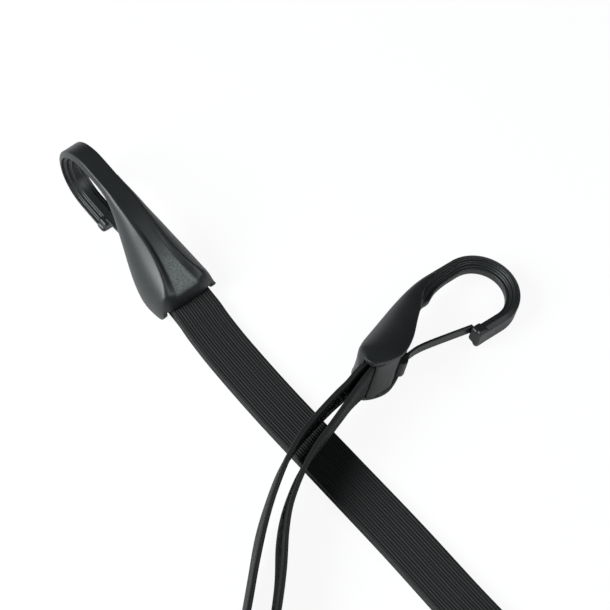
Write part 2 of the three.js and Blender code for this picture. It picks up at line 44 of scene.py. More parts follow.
# Camera: a long lens above the end of the strap, looking down past the crossing at both hooks.
# The picture is square, and the strap's far bend stays below it.
studio_lens = bpy.data.cameras.new("studio_camera")
studio_lens.sensor_width = 36
studio_lens.lens = 125.55
studio_camera = bpy.data.objects.new("studio_camera", studio_lens)
studio_camera.location = (0.42741, -0.31580, 0.74504)
line_of_sight = Vector((0.02517, -0.01065, 0)) - studio_camera.location
studio_camera.rotation_euler = line_of_sight.to_track_quat("-Z", "Y").to_euler()
scene.collection.objects.link(studio_camera)
scene.camera = studio_camera


# Webbing: two plies of flat elastic, rubber threads laid side by side under a woven polyester cover.
# Each thread shows as a rib, and two beads make each selvedge. Both tails of a ply are crimped thinner
# in the hooks, and between them the strap lies flat, turns up on its edge in the bend and crosses itself.
MM = 0.001  # sizes are written in millimetres, and meshes end up in metres
PLY_WIDTH, PLY_THICKNESS, PLY_GAP = 20, 2.2, 0.3
CRIMPED_WIDTH, CRIMPED_THICKNESS, CRIMP_DEPTH = 18.6, 1.7, 5
MOUTH_V, TAIL_SLOPE, TAIL_DEPTHS = 8.6, radians(8), (13.8, 7.8, 3.9, 0)
MOUTH_SPACING = {"a": 1.25, "b": 2}
FACE_RIBS, EDGE_BEADS, EDGE_REACH = 16, 2, 0.6
RIB_DEPTH, GROOVE_SHARPNESS = 0.26, 1.5
RIB_WANDER, WANDER_RUN, DRIFT_RUN = 0.1, 9.1, 23
GROOVE_CHANGE, CHANGE_RUN = 0.3, 13
RIB_STEPS, PLY_RINGS, ROUTE_STEPS = 5, 400, 6000


def hook_frame(along, to_gate, corner):
    """From a hook's millimetres, U along it, V to its gate and W across it, to the table's metres."""
    along, to_gate = Vector(along), Vector(to_gate)
    turn = Matrix((along, to_gate, along.cross(to_gate))).transposed().to_4x4()
    return Matrix.Translation(Vector(corner) * MM) @ turn @ Matrix.Scale(MM, 4)


HOOKS = {
    "a": hook_frame((-0.986360, -0.049967, 0.156833), (-0.156632, -0.007935, -0.987625),
                    (-1.345773, -49.618311, 11.632246)),
    "b": hook_frame((-0.034613, 0.991199, -0.127775), (0.995217, 0.022500, -0.095060),
                    (68.948321, -21.980045, 17.030560)),
}
ROUTE_SHIFT = (19.80719, -11.38655)
# x, y, height of the lowest edge, roll in degrees (0 flat, 90 on edge), half the spacing of the plies
ROUTE = (
    (-15.5, -38.5, 0.3, 0, 1.25), (-7, -39.3, 0.2, 0, 1.25), (10, -40, 0.2, 0, 1.25),
    (40, -39.9, 0.2, 0, 1.25), (80, -38.5, 0.2, 0, 1.25), (118, -37.1, 0.2, 0, 1.25),
    (150, -36.6, 0.2, 0, 1.25), (184.4, -36.5, 0.2, 5, 1.8), (205.8, -40.7, 0.2, 16, 2.3),
    (224, -52.5, 0.2, 32, 2.9), (236.5, -70.3, 0.2, 47, 3.6), (241.4, -91.5, 0.2, 58, 4.2),
    (238, -113, 0.2, 66, 4.7), (226.8, -131.6, 0.2, 72, 5), (209.4, -144.7, 0.2, 76, 5.2),
    (188.4, -150.4, 0.2, 78, 5.3), (165.4, -146.6, 0.2, 79, 5.6), (145, -133.5, 0.2, 80, 5.7),
    (128.5, -117.5, 0.2, 80, 5.7), (113.8, -102.4, 0.2, 80, 5.6), (102.1, -90.9, 0.6, 80, 5.3),
    (90.5, -80, 2, 78, 4.3), (82.2, -70.4, 3.8, 77, 3.7), (74.3, -58.5, 5.6, 76, 3.7),
    (69.4, -48.8, 6, 77, 3.7), (65.6, -38.2, 5.8, 78, 3.5), (61.6, -25.5, 5.6, 79, 2.8),
    (59.5, -18, 5.6, 80, 2.2),
)


def tail_station(letter, depth):
    """Place, facing, half spacing, width and thickness of the webbing at a depth behind a mouth."""
    hook, crimped = HOOKS[letter], depth > CRIMP_DEPTH
    width, thickness = (CRIMPED_WIDTH, CRIMPED_THICKNESS) if crimped else (PLY_WIDTH, PLY_THICKNESS)
    place = hook @ Vector((depth * cos(TAIL_SLOPE), MOUTH_V - depth * sin(TAIL_SLOPE), 0))
    facing = hook.to_3x3() @ Vector((-sin(TAIL_SLOPE), -cos(TAIL_SLOPE), 0))
    spacing = (thickness + PLY_GAP) / 2 if depth else MOUTH_SPACING[letter]
    return [*(place / MM), *facing.normalized(), spacing, width, thickness]


def route_station(index):
    """The same for a point of the route."""
    x, y, lift, roll, spacing = ROUTE[index]
    before, after = ROUTE[max(0, index - 1)], ROUTE[min(len(ROUTE) - 1, index + 1)]
    along = Vector((after[0] - before[0], after[1] - before[1])).normalized()
    rise, lean = cos(radians(roll)), sin(radians(roll))
    height = lift + PLY_WIDTH / 2 * lean + (spacing + PLY_THICKNESS / 2) * rise
    place = (x + ROUTE_SHIFT[0], y + ROUTE_SHIFT[1], height)
    return [*place, -along.y * lean, along.x * lean, rise, spacing, PLY_WIDTH, PLY_THICKNESS]


def spline(points, at, overrun):
    """The smooth curve through points, at shares of its spans. Overrun draws its ends straighter."""
    points = np.array(points, float)
    first = points[0] - overrun * (points[1] - points[0])
    last = points[-1] + overrun * (points[-1] - points[-2])
    padded = np.vstack([first, points, last])
    span = np.asarray(at) * (len(points) - 1)
    i = np.minimum(span.astype(int), len(points) - 2)
    t = (span - i)[:, None]
    p0, p1, p2, p3 = (padded[i + k] for k in range(4))
    start, end = (p2 - p0) / 2, (p3 - p1) / 2
    return ((2 * p1 - 2 * p2 + start + end) * t**3
            + (3 * p2 - 3 * p1 - 2 * start - end) * t**2 + start * t + p1)


def unit(rows):
    return rows / np.linalg.norm(rows, axis=1)[:, None]


def skin(places, uv_size=(1, 1)):
    """A closed tube over rings of points: a grid rolled up, its seam merged and its ends filled."""
    rings, around = places.shape[:2]
    bm = bmesh.new()
    bmesh.ops.create_grid(bm, x_segments=rings - 1, y_segments=around, size=0.5)
    uv = bm.loops.layers.uv.new("along_and_round")
    for face in bm.faces:
        for loop in face.loops:
            share = loop.vert.co.xy + Vector((0.5, 0.5))
            loop[uv].uv = share * Vector(uv_size)
    for vert in bm.verts:
        ring, step = round((vert.co.x + 0.5) * (rings - 1)), round((vert.co.y + 0.5) * around)
        vert.co = places[ring, step % around]
    bmesh.ops.remove_doubles(bm, verts=bm.verts[:], dist=1e-6)
    bmesh.ops.holes_fill(bm, edges=[e for e in bm.edges if e.is_boundary], sides=0)
    bmesh.ops.recalc_face_normals(bm, faces=bm.faces[:])
    return bm


def placed(name, bm):
    """A mesh as an object in the scene."""
    mesh = bpy.data.meshes.new(name)
    bm.to_mesh(mesh)
    made = bpy.data.objects.new(name, mesh)
    scene.collection.objects.link(made)
    return made


def finished(name, bm, finish, body, node):
    """A piece of the object from its mesh, in place of a CAD node and riding on its body."""
    piece = placed(name, bm)
    bm.free()
    piece.data.materials.append(finish)
    piece.data.polygons.foreach_set("use_smooth", [True] * len(piece.data.polygons))
    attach(piece, body)
    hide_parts(node)
    return piece


class Value:
    """A shader value: sums with it add Math nodes, and node() adds any other node to its material."""

    def __init__(self, tree, socket=None):
        self.tree, self.socket = tree, socket

    def node(self, kind, settings=None, sockets=None, output=0):
        made = self.tree.nodes.new(kind)
        for name, setting in (settings or {}).items():
            setattr(made, name, setting)
        for name, value in (sockets or {}).items():
            if isinstance(value, Value):
                self.tree.links.new(value.socket, made.inputs[name])
            else:
                made.inputs[name].default_value = value
        return Value(self.tree, made.outputs[output]) if len(made.outputs) else made

    def out(self, name):
        """Another output of the node that this value comes from."""
        return Value(self.tree, self.socket.node.outputs[name])

    def math(self, operation, *values):
        return self.node("ShaderNodeMath", {"operation": operation}, dict(enumerate(values)))

    def __add__(self, other):
        return self.math("ADD", self, other)

    def __sub__(self, other):
        return self.math("SUBTRACT", self, other)

    def __mul__(self, other):
        return self.math("MULTIPLY", self, other)

    def __rsub__(self, other):
        return self.math("SUBTRACT", other, self)

    __radd__, __rmul__ = __add__, __mul__

    def mix(self, low, high):
        """From one colour to another by this value."""
        return self.node("ShaderNodeMix", {"data_type": "RGBA"}, {0: self, 6: low, 7: high}, 2)


def material(name):
    """A new material and its tree, ready for its nodes."""
    made = bpy.data.materials.new(name)
    made.use_nodes = True
    made.node_tree.nodes.clear()
    return made, Value(made.node_tree)


def surface(tree, sockets):
    """The material's one shader, on its output."""
    shader = tree.node("ShaderNodeBsdfPrincipled", None, sockets)
    tree.node("ShaderNodeOutputMaterial", None, {"Surface": shader})


elastic_cover, tree = material("elastic_cover")
along = tree.node("ShaderNodeSeparateXYZ", None, {0: tree.node("ShaderNodeTexCoord", output="UV")})
around = along.out("Y")
crest = tree.math("PINGPONG", around * 2, 1)
thread = tree.math("FLOOR", around)
streak = tree.node("ShaderNodeTexNoise", {"noise_dimensions": "2D"}, {
    "Vector": tree.node("ShaderNodeCombineXYZ", None, {0: along * 28, 1: thread * 7.31}),
    "Scale": 1, "Detail": 3, "Roughness": 0.6,
})
pick = tree.math("SINE", along * 4400 + thread * pi)
fuzz = tree.node("ShaderNodeTexNoise", None, {
    "Vector": tree.node("ShaderNodeTexCoord", output="Object"), "Scale": 5200, "Detail": 2,
})
# Painted shade and highlight: the base colour is darkened in the grooves between the ribs and lightened
# on their crests. The streaks along each thread are its own uneven tone.
painted_crest_light_and_streak = tree.math("POWER", crest, 2.2) * (streak * 1.5 - 0.2)
cover_height = crest * 0.35 + pick * crest * 0.3 + fuzz * 0.35
surface(tree, {
    "Base Color": painted_crest_light_and_streak.mix((0.0020, 0.0021, 0.0022, 1), (0.0115, 0.0121, 0.0126, 1)),
    "Roughness": 0.75 - painted_crest_light_and_streak * 0.14 - fuzz * 0.08,
    "Specular IOR Level": 0.4,
    "Sheen Weight": 0.07,
    "Sheen Roughness": 0.3,
    "Normal": tree.node("ShaderNodeBump", None, {
        "Strength": 0.55, "Distance": 0.00012, "Height": cover_height,
    }),
})

stations = [tail_station("a", depth) for depth in TAIL_DEPTHS]
stations += [route_station(index) for index in range(len(ROUTE))]
stations += [tail_station("b", depth) for depth in reversed(TAIL_DEPTHS)]
fine = np.linspace(0, 1, ROUTE_STEPS + 1)
strides = np.linalg.norm(np.diff(spline(stations, fine, 1)[:, :3], axis=0), axis=1)
run = np.append(0, np.cumsum(strides))
travel = np.linspace(0, run[-1], PLY_RINGS)
middle = spline(stations, np.interp(travel, run, fine), 1)
line, normal, spacing, width, thickness = np.split(middle, (3, 6, 7, 8), axis=1)
ahead = unit(np.gradient(line, axis=0))
across = unit(np.cross(ahead, normal))
facing = np.cross(across, ahead)

# once round the section: the ribs of one face, the beads of its selvedge, then the other face
half_turn = FACE_RIBS + EDGE_BEADS
turn = np.arange(2 * half_turn * RIB_STEPS) / RIB_STEPS
side = np.where(turn < half_turn, 1, -1)
in_half = np.mod(turn, half_turn)
on_face = in_half < FACE_RIBS
edge_angle = (in_half - FACE_RIBS) / EDGE_BEADS * pi
out_w = side * np.where(on_face, 0, np.sin(edge_angle))
out_t = side * np.where(on_face, 1, np.cos(edge_angle))
face_half = PLY_WIDTH / 2 - EDGE_REACH
section_w = side * np.where(on_face, (2 * in_half / FACE_RIBS - 1) * face_half,
                            face_half + EDGE_REACH * np.sin(edge_angle))
section_t = PLY_THICKNESS / 2 * out_t
groove = (1 - np.abs(np.sin(pi * turn))) ** GROOVE_SHARPNESS
rib_number = np.floor(turn + 0.5)
travel = travel[:, None]
for name, layer in (("outer", 1), ("inner", -1)):
    wander = (np.sin(travel / WANDER_RUN + 1.7 * rib_number + layer)
              * np.sin(travel / DRIFT_RUN + 0.6 * turn))
    depth = RIB_DEPTH * groove * (1 + GROOVE_CHANGE * np.sin(travel / CHANGE_RUN + 2.3 * rib_number))
    w = (section_w - out_w * depth + RIB_WANDER * wander * on_face) * width / PLY_WIDTH
    t = (section_t - out_t * depth) * thickness / PLY_THICKNESS
    centre = line + layer * spacing * facing
    places = centre[:, None] + w[..., None] * across[:, None] + t[..., None] * facing[:, None]
    ply = finished(f"webbing_ply_{name}", skin(places * MM, (run[-1] * MM, 2 * half_turn)),
                   elastic_cover, "strap", f"webbing_{name}")


# Hook bodies: one glass-filled nylon moulding each, with a fine spark-eroded texture. A hollow shell
# flares round the webbing tails, two cheeks hang down from its spine, and a stepped bar runs on from it
# round the tip to a solid nose. A rougher thumb pad lies in a shallow dish along the spine. Its lighter,
# speckled colour, brightest towards the mouth, is a painted highlight.
LOOP_WIDTH, LOOP_DEPTH, TIP_RADIUS, TIP_U, SPINE_V = 10.4, 5.7, 17.9, 69, -15.2
TIP_V = SPINE_V + TIP_RADIUS
NOSE_V = TIP_V + TIP_RADIUS
SPINE_START_V, SPINE_PULL_U, SPINE_END_U, BODY_END_U = 0.3, 38.5, 55, 58
CHEEK_EDGE = (
    (0, 7.2), (2.7, 10.8), (9, 13.2), (15.6, 13.2), (24.483, 9.1245), (33.6, 2.2),
    (40.1, -2.8), (45.2, -7.4), (49.5, -10.2), (54.8, -11.8), (60, -12.4),
)
CHEEK_DEPTH, CHEEK_MOUTH_WIDTH, CHEEK_FLARE_U, CHEEK_BULGE = 13.2, 28.6, 10, 0.8
MOUTH_TAPER, TAPER_END_U = 0.9, 7
RIM_RUN, RIM_DROP, RIM_ROUNDNESS = 4.6, 5.4, 1.6
RIDGE_HALF, RIDGE_MOUTH_HALF, RIDGE_FLARE_END_U, RIDGE_FLARE_POWER = 4.4, 12.6, 30, 2.2
RIDGE_NARROWING, RIDGE_NARROW_U = 0.5, 44
DISH_DEPTH, DISH_FADE_U, DISH_FLAT, DISH_EDGE = 1, (20, 42), 0.46, 0.92
CREASE_SOFTNESS, RIM_SOFTNESS, RIM_SOFT_END_U = 0.35, 2.3, 10
CORNER_SET_BACK, CORNER_W, CORNER_V, CORNER_END_U = 1.5, (5, 13.4), (5, 10), 14
SECTION_STEPS, SHELL_RINGS, RIM_RINGS = 60, 120, 14
CHEEK_WALL, SPINE_WALL, SHOULDER_WALL, SHOULDER = 1.8, 1.8, 1.3, 0.35
POCKET_END_U, WEB_INSET, WEB_END_U = 24, 4, 36
LIP_LENGTH, LIP_HEIGHT, SLOT_ROOM = 7.2, 5.4, 0.3
FLANGE_DEPTH, FLANGE_HALF, STEP_DEPTH, STEP_HALF, RIB_HALF, LEDGE = 2.7, 5.2, 4, 3.5, 1.8, 0.4
LOOP_START_U, BAR_SUNK, BAR_RISE_U = 32, 2, (42, 50)
THROAT_RUN, THROAT_END_U, THROAT_BLEND = 23, 66, 1.3
RIB_GAIN, STEP_GAIN, RIB_POWER, FLANGE_GAIN, FLANGE_POWER = 6.4, 4.4, 2.3, 5.6, 3.5
RIB_ROOM = ((3, LOOP_START_U, 42), (5.2, 39, 51), (5, 43, 56))
NOSE_END_U, NOSE_LENGTH, NOSE_FLANGE, NOSE_CORE = 53.8, 5, 3.2, 8.4
NOSE_FLANGE_ROUNDING, NOSE_CORE_ROUNDING = 1.4, 1.1
MARK_U, MARK_RADIUS, MARK_LINE, MARK_DEPTH, MARK_REACH = 63, 2, 0.3, 0.16, 0.4
PAD_START_U, PAD_FADE_U, PAD_HALF, PAD_EDGE, PAD_SOFTNESS = 3.2, (10, 30), 0.44, 0.6, 0.7

bend = np.linspace(0, 1, 800)
spine_u = 2 * (1 - bend) * bend * SPINE_PULL_U + bend**2 * SPINE_END_U
spine_line = (1 - bend) ** 2 * SPINE_START_V + (1 - (1 - bend) ** 2) * SPINE_V
cheek_line = spline(CHEEK_EDGE, bend, 0)


def spine_v(u):
    return np.interp(u, spine_u, spine_line)


def cheek_v(u):
    return np.interp(u, cheek_line[:, 0], cheek_line[:, 1])


def ease(x, low, high):
    """From 0 to 1 between two values, level at both."""
    share = np.clip((x - low) / (high - low), 0, 1)
    return share * share * (3 - 2 * share)


def rim_v(u):
    """The outside of the spine, which rolls over at the rim of the mouth."""
    reach = 1 - min(1, u / RIM_RUN)
    return spine_v(u) + RIM_DROP * (1 - (1 - reach**RIM_ROUNDNESS) ** (1 / RIM_ROUNDNESS))


def ridge_half(u):
    """Half the flat along the spine, a narrow strip that flares at the mouth."""
    flare = max(0, 1 - u / RIDGE_FLARE_END_U) ** RIDGE_FLARE_POWER
    return (RIDGE_HALF + (RIDGE_MOUTH_HALF - RIDGE_HALF) * flare
            - RIDGE_NARROWING * ease(u, RIDGE_NARROW_U, BODY_END_U))


def mouth_taper(u):
    """How far the top of a cheek leans in near the mouth."""
    return MOUTH_TAPER * (1 - ease(u, 0, TAPER_END_U))


def cheek_half(u):
    flare = 1 - ease(u, CHEEK_FLARE_U, BODY_END_U)
    return (LOOP_WIDTH + (CHEEK_MOUTH_WIDTH - LOOP_WIDTH) * flare) / 2 - mouth_taper(u)


def cheek_place(u, share):
    """A cheek's outside as half-width and height, from the spine's flat at 0 to its edge at 1."""
    top, bottom, half = rim_v(u), cheek_v(u), cheek_half(u)
    share = np.asarray(share, float)[..., None]
    ridge = np.array((ridge_half(u), top))
    pull = np.array((half + CHEEK_BULGE * (bottom - top) / CHEEK_DEPTH, top + SHOULDER * (bottom - top)))
    foot = np.array((half + mouth_taper(u), bottom))
    return (1 - share) ** 2 * ridge + 2 * (1 - share) * share * pull + share**2 * foot


def both_sides(half):
    """One section across the hook from the half of it on one side."""
    return half + [(u, v, -w) for u, v, w in reversed(half)]


def body_ring(u):
    """One section of the shell's outside: a shallow dish along the spine, its crease, then the cheek."""
    ridge = ridge_half(u)
    w = np.linspace(0, ridge, SECTION_STEPS)
    sink = DISH_DEPTH * (1 - ease(u, *DISH_FADE_U)) * (1 - ease(w, DISH_FLAT * ridge, DISH_EDGE * ridge))
    cheek = cheek_place(u, np.linspace(0, 1, SECTION_STEPS)[1:])
    sharp = np.vstack([np.stack([w, rim_v(u) + sink], 1), cheek])
    length = np.append(0, np.cumsum(np.linalg.norm(np.diff(sharp, axis=0), axis=1)))
    even = np.linspace(0, length[-1], 4 * SECTION_STEPS)
    side = np.stack([np.interp(even, length, sharp[:, k]) for k in (0, 1)], 1)

    # a moving average along the section softens its creases, most of all at the rim
    soft = (CREASE_SOFTNESS + RIM_SOFTNESS * (1 - ease(u, 0, RIM_SOFT_END_U))) / even[1]
    window = np.exp(-0.5 * (np.arange(-SECTION_STEPS, SECTION_STEPS + 1) / soft) ** 2)
    mirrored = side[SECTION_STEPS:0:-1] * (-1, 1)
    carried_on = 2 * side[-1] - side[-2:-SECTION_STEPS - 2:-1]
    padded = np.vstack([mirrored, side, carried_on])
    side = np.stack([np.convolve(padded[:, k], window / window.sum(), "valid") for k in (0, 1)], 1)[2::4]
    back = (CORNER_SET_BACK * ease(side[:, 0], *CORNER_W) * (1 - ease(side[:, 1], *CORNER_V))
            * max(0, 1 - u / CORNER_END_U))
    return both_sides([(u + b, v, w) for b, (w, v) in zip(back, side)])


def pocket(shrink):
    """The hollow between the cheeks that takes the end plug."""
    rings, floor = [], 2 * CHEEK_DEPTH
    for u in np.append(np.arange(-1, POCKET_END_U - 0.5), POCKET_END_U - shrink):
        inside = max(0, u)
        roof = spine_v(inside) + SPINE_WALL + shrink
        half, height = cheek_place(inside, SHOULDER)
        half, height = half - SHOULDER_WALL - shrink, max(height, roof + SHOULDER_WALL)
        spread = cheek_half(inside) - CHEEK_WALL - shrink - half
        slant = spread * (floor - height) / (CHEEK_DEPTH - height)
        rings.append(both_sides([
            (u, roof, ridge_half(inside) - shrink), (u, height, half), (u, floor, half + slant),
        ]))
    return skin(np.array(rings))


def web_step():
    """The step between the cheeks behind the gate, where the opened leaf swings in."""
    rings = []
    for u in np.linspace(POCKET_END_U - 1, WEB_END_U, 40):
        roof = max(cheek_v(u) - WEB_INSET, spine_v(u) + LOOP_DEPTH)
        half = cheek_half(u) - CHEEK_WALL
        rings.append(both_sides([(u, roof, half), (u, max(cheek_v(u), roof) + WEB_INSET, half)]))
    return skin(np.array(rings))


def solid(bm, *modifiers):
    """The mesh that a row of modifiers makes of another."""
    work = placed("work", bm)
    for kind, settings in modifiers:
        modifier = work.modifiers.new(kind, kind)
        for name, setting in settings.items():
            setattr(modifier, name, setting)
    made = bpy.data.meshes.new_from_object(work.evaluated_get(bpy.context.evaluated_depsgraph_get()))
    bm.clear()
    bm.from_mesh(made)
    bpy.data.meshes.remove(made)
    bpy.data.meshes.remove(work.data)
    return bm


def trimmed(bm, tool, operation):
    """A solid cut by another, or what the two share."""
    cutter = placed("tool", tool)
    solid(bm, ("BOOLEAN", {"object": cutter, "operation": operation, "solver": "EXACT"}))
    bpy.data.meshes.remove(cutter.data)
    return bm


def moulded(*solids, voxel, rounds, keep):
    """Solids grown into one moulding with soft edges, and a share of its faces kept."""
    whole = bmesh.new()
    for bm in solids:
        work = placed("work", bm)
        whole.from_mesh(work.data)
        bpy.data.meshes.remove(work.data)
    bmesh.ops.triangulate(whole, faces=whole.faces[:])
    return solid(whole, ("REMESH", {"mode": "VOXEL", "voxel_size": voxel}),
                 ("SMOOTH", {"factor": 0.5, "iterations": rounds}), ("DECIMATE", {"ratio": keep}))


def block(size, placement, rounding=0):
    """A plain bar, its edges rounded, put in its place."""
    bm = bmesh.new()
    bmesh.ops.create_cube(bm, size=1)
    bmesh.ops.scale(bm, vec=size, verts=bm.verts[:])
    if rounding:
        bmesh.ops.bevel(bm, geom=bm.edges[:], offset=rounding, segments=6, profile=0.5,
                        affect="EDGES", material=-1)
    bmesh.ops.transform(bm, matrix=placement, verts=bm.verts[:])
    return bm


def softer_least(a, b):
    """The lesser of two depths, with a rounded corner where they meet."""
    return -THROAT_BLEND * np.log(np.exp(-a / THROAT_BLEND) + np.exp(-b / THROAT_BLEND))


def bar_ring(u, v, inward_u, inward_v, throat=0, deepest=20, sunk=0):
    """One section of the stepped bar: flange with slanted sides, step and rib, deeper at the throat."""
    rib = softer_least(LOOP_DEPTH + RIB_GAIN * throat**RIB_POWER, deepest)
    step = min(STEP_DEPTH + STEP_GAIN * throat**RIB_POWER, rib - LEDGE)
    flange = min(FLANGE_DEPTH + FLANGE_GAIN * throat**FLANGE_POWER, step - LEDGE)
    half = [
        (FLANGE_HALF - 1.3, sunk), (FLANGE_HALF - 1, sunk + 0.15), (FLANGE_HALF - 0.06, flange - 0.55),
        (FLANGE_HALF, flange - 0.35), (FLANGE_HALF - 0.16, flange),
        (STEP_HALF + 0.1, flange), (STEP_HALF, flange + 0.1),
        (STEP_HALF, step - 0.2), (STEP_HALF - 0.2, step),
        (RIB_HALF + 0.1, step), (RIB_HALF, step + 0.1), (RIB_HALF, rib - 0.2), (RIB_HALF - 0.2, rib),
    ]
    return both_sides([(u + d * inward_u, v + d * inward_v, w) for w, d in half])


def stepped_bar():
    """The bar from the shell's spine round the tip to the nose."""
    rings = []
    slope = np.gradient(spine_line, spine_u)
    for u, v, fall in zip(spine_u[::8], spine_line[::8], slope[::8]):
        if u >= LOOP_START_U:
            tilt = (1 + fall**2) ** 0.5
            behind_cheek = sum((rise * ease(u, low, high) for rise, low, high in RIB_ROOM),
                               cheek_v(u) - v - WEB_INSET)
            rings.append(bar_ring(u, v, -fall / tilt, 1 / tilt, (THROAT_END_U - u) / THROAT_RUN,
                                  behind_cheek, BAR_SUNK * (1 - ease(u, *BAR_RISE_U))))
    for u in np.arange(SPINE_END_U + 1, TIP_U, 1.5):
        rings.append(bar_ring(u, SPINE_V, 0, 1, max(0, THROAT_END_U - u) / THROAT_RUN))
    for angle in np.radians(np.arange(-90, 91, 2.5)):
        place = (TIP_U + TIP_RADIUS * cos(angle), TIP_V + TIP_RADIUS * sin(angle))
        rings.append(bar_ring(*place, -cos(angle), -sin(angle)))
    for u in np.linspace(TIP_U - 1, NOSE_END_U + NOSE_LENGTH / 2, 12):
        rings.append(bar_ring(u, NOSE_V, 0, -1))
    return skin(np.array(rings))


def nose_block(depth, width, rounding):
    middle = (NOSE_END_U + NOSE_LENGTH / 2, NOSE_V - depth / 2, 0)
    return block((NOSE_LENGTH, depth, width), Matrix.Translation(middle), rounding)


def on_each_hook(moulding, finish, name, body, node):
    """The same moulding on both hooks, whose letter fills its names."""
    for letter, place in HOOKS.items():
        bm = moulding.copy()
        bmesh.ops.transform(bm, matrix=place, verts=bm.verts[:])
        finished(name.format(letter), bm, finish, body.format(letter), node.format(letter))


rim = RIM_RUN * (1 - np.cos(np.linspace(0, pi / 2, RIM_RINGS)))
ring_places = np.append(rim, np.linspace(RIM_RUN + 0.4, BODY_END_U, SHELL_RINGS))
shell = skin(np.array([body_ring(u) for u in ring_places]))
slot_half = PLY_THICKNESS + PLY_GAP / 2 + SLOT_ROOM
along_tail = Matrix.Translation((0, MOUTH_V, 0)) @ Matrix.Rotation(-TAIL_SLOPE, 4, "Z")
lip = block((2 * LIP_LENGTH, LIP_HEIGHT, CHEEK_MOUTH_WIDTH),
            along_tail @ Matrix.Translation((0, -slot_half - LIP_HEIGHT / 2, 0)))
lip = trimmed(lip, shell, "INTERSECT")
shell = trimmed(shell, pocket(0), "DIFFERENCE")
shell = trimmed(shell, web_step(), "DIFFERENCE")
hook_moulding = moulded(
    shell, lip, stepped_bar(), nose_block(NOSE_FLANGE, LOOP_WIDTH, NOSE_FLANGE_ROUNDING),
    nose_block(LOOP_DEPTH, NOSE_CORE, NOSE_CORE_ROUNDING), voxel=0.25, rounds=4, keep=0.5)
# Where the thumb pad lies, fading away from the mouth. The material paints a highlight there, and also
# makes it rougher.
pad_highlight_layer = hook_moulding.verts.layers.float.new("pad")
for vert in hook_moulding.verts:
    u, v, w = vert.co
    across_pad = 1 - ease(abs(w), PAD_HALF * ridge_half(u), PAD_EDGE * ridge_half(u))
    along_pad = (ease(u, PAD_START_U - PAD_SOFTNESS, PAD_START_U + PAD_SOFTNESS)
                 * (1 - ease(u, *PAD_FADE_U)))
    vert[pad_highlight_layer] = float(across_pad * along_pad * (v < spine_v(u) + 2 * DISH_DEPTH))
    if v > NOSE_V - MARK_REACH:
        off_line = (Vector((u - MARK_U, w)).length - MARK_RADIUS) / MARK_LINE
        vert.co.y -= MARK_DEPTH * float(np.exp(-off_line * off_line))

hook_nylon, tree = material("hook_nylon")
here = tree.node("ShaderNodeTexCoord", output="Object")
grain = tree.node("ShaderNodeTexNoise", None, {
    "Vector": here, "Scale": 3000, "Detail": 2, "Roughness": 0.6,
})
flow = tree.node("ShaderNodeTexNoise", None, {"Vector": here, "Scale": 160, "Detail": 3})
speckle = tree.node("ShaderNodeTexNoise", None, {
    "Vector": here, "Scale": 1500, "Detail": 3, "Roughness": 0.7,
})
pad_and_painted_highlight = tree.node("ShaderNodeAttribute", {"attribute_name": "pad"}, output="Fac")
nylon = (grain * 0.6 + flow * 0.3).mix((0.0040, 0.0045, 0.0049, 1), (0.0165, 0.0179, 0.0185, 1))
surface(tree, {
    # Painted highlight: on the thumb pad the colour is raised to a light speckled grey, strongest at the
    # mouth end, for the key light's shine on its rough texture.
    "Base Color": (pad_and_painted_highlight * (speckle * 1.7 - 0.3)).mix(nylon, (0.170, 0.182, 0.178, 1)),
    "Roughness": 0.36 + grain * 0.1 + flow * 0.05 + pad_and_painted_highlight * 0.2,
    "Normal": tree.node("ShaderNodeBump", None, {
        "Strength": 0.35, "Distance": 0.00006, "Height": grain * 0.6 + pad_and_painted_highlight * speckle * 1.5,
    }),
})
on_each_hook(hook_moulding, hook_nylon, "moulded_hook_{}", "strap", "hook_body_{}")


# End plugs: nylon blocks that press in between the cheeks under the clip, so that it can't back out.
# The heel of each carries a thin rail on a web, which the gate snaps on to.
SEAT, PLUG_START_U, PLUG_CROWN_U, PLUG_HEEL_U, PLUG_INSET = 0.3, 3.3, 11.5, 15.4, 0.7
CLIP_FLOOR, CLIP_STOP_U = 3.65, 14.4
RAIL_U, RAIL_V, RAIL_RADIUS, RAIL_END_GAP = 18.6, 11.7, 1.1, 1.8
RAIL_WEB_LENGTH, RAIL_WEB_THICKNESS, RAIL_WEB_ANGLE = 5.12, 0.9, radians(235)
CURL_WIDTH, CURL_INNER, CURL_OUTER = 9.6, 1.4, 2.3


def tail_v(u):
    return MOUTH_V - u * tan(TAIL_SLOPE)


def prism(outline, width):
    """A flat outline drawn along the hook, made solid across it."""
    bm = bmesh.new()
    face = bm.faces.new([bm.verts.new((u, v, -width / 2)) for u, v in outline])
    made = bmesh.ops.extrude_face_region(bm, geom=[face])["geom"]
    far_side = [v for v in made if isinstance(v, bmesh.types.BMVert)]
    bmesh.ops.translate(bm, vec=(0, 0, width), verts=far_side)
    bmesh.ops.recalc_face_normals(bm, faces=bm.faces[:])
    return bm


def rail_bar(radius, width, shift=0):
    """A round bar about the rail's axis."""
    bm = bmesh.new()
    bmesh.ops.create_cone(bm, cap_ends=True, segments=48, radius1=radius, radius2=radius, depth=width)
    bmesh.ops.translate(bm, vec=(RAIL_U, RAIL_V, shift), verts=bm.verts[:])
    return bm


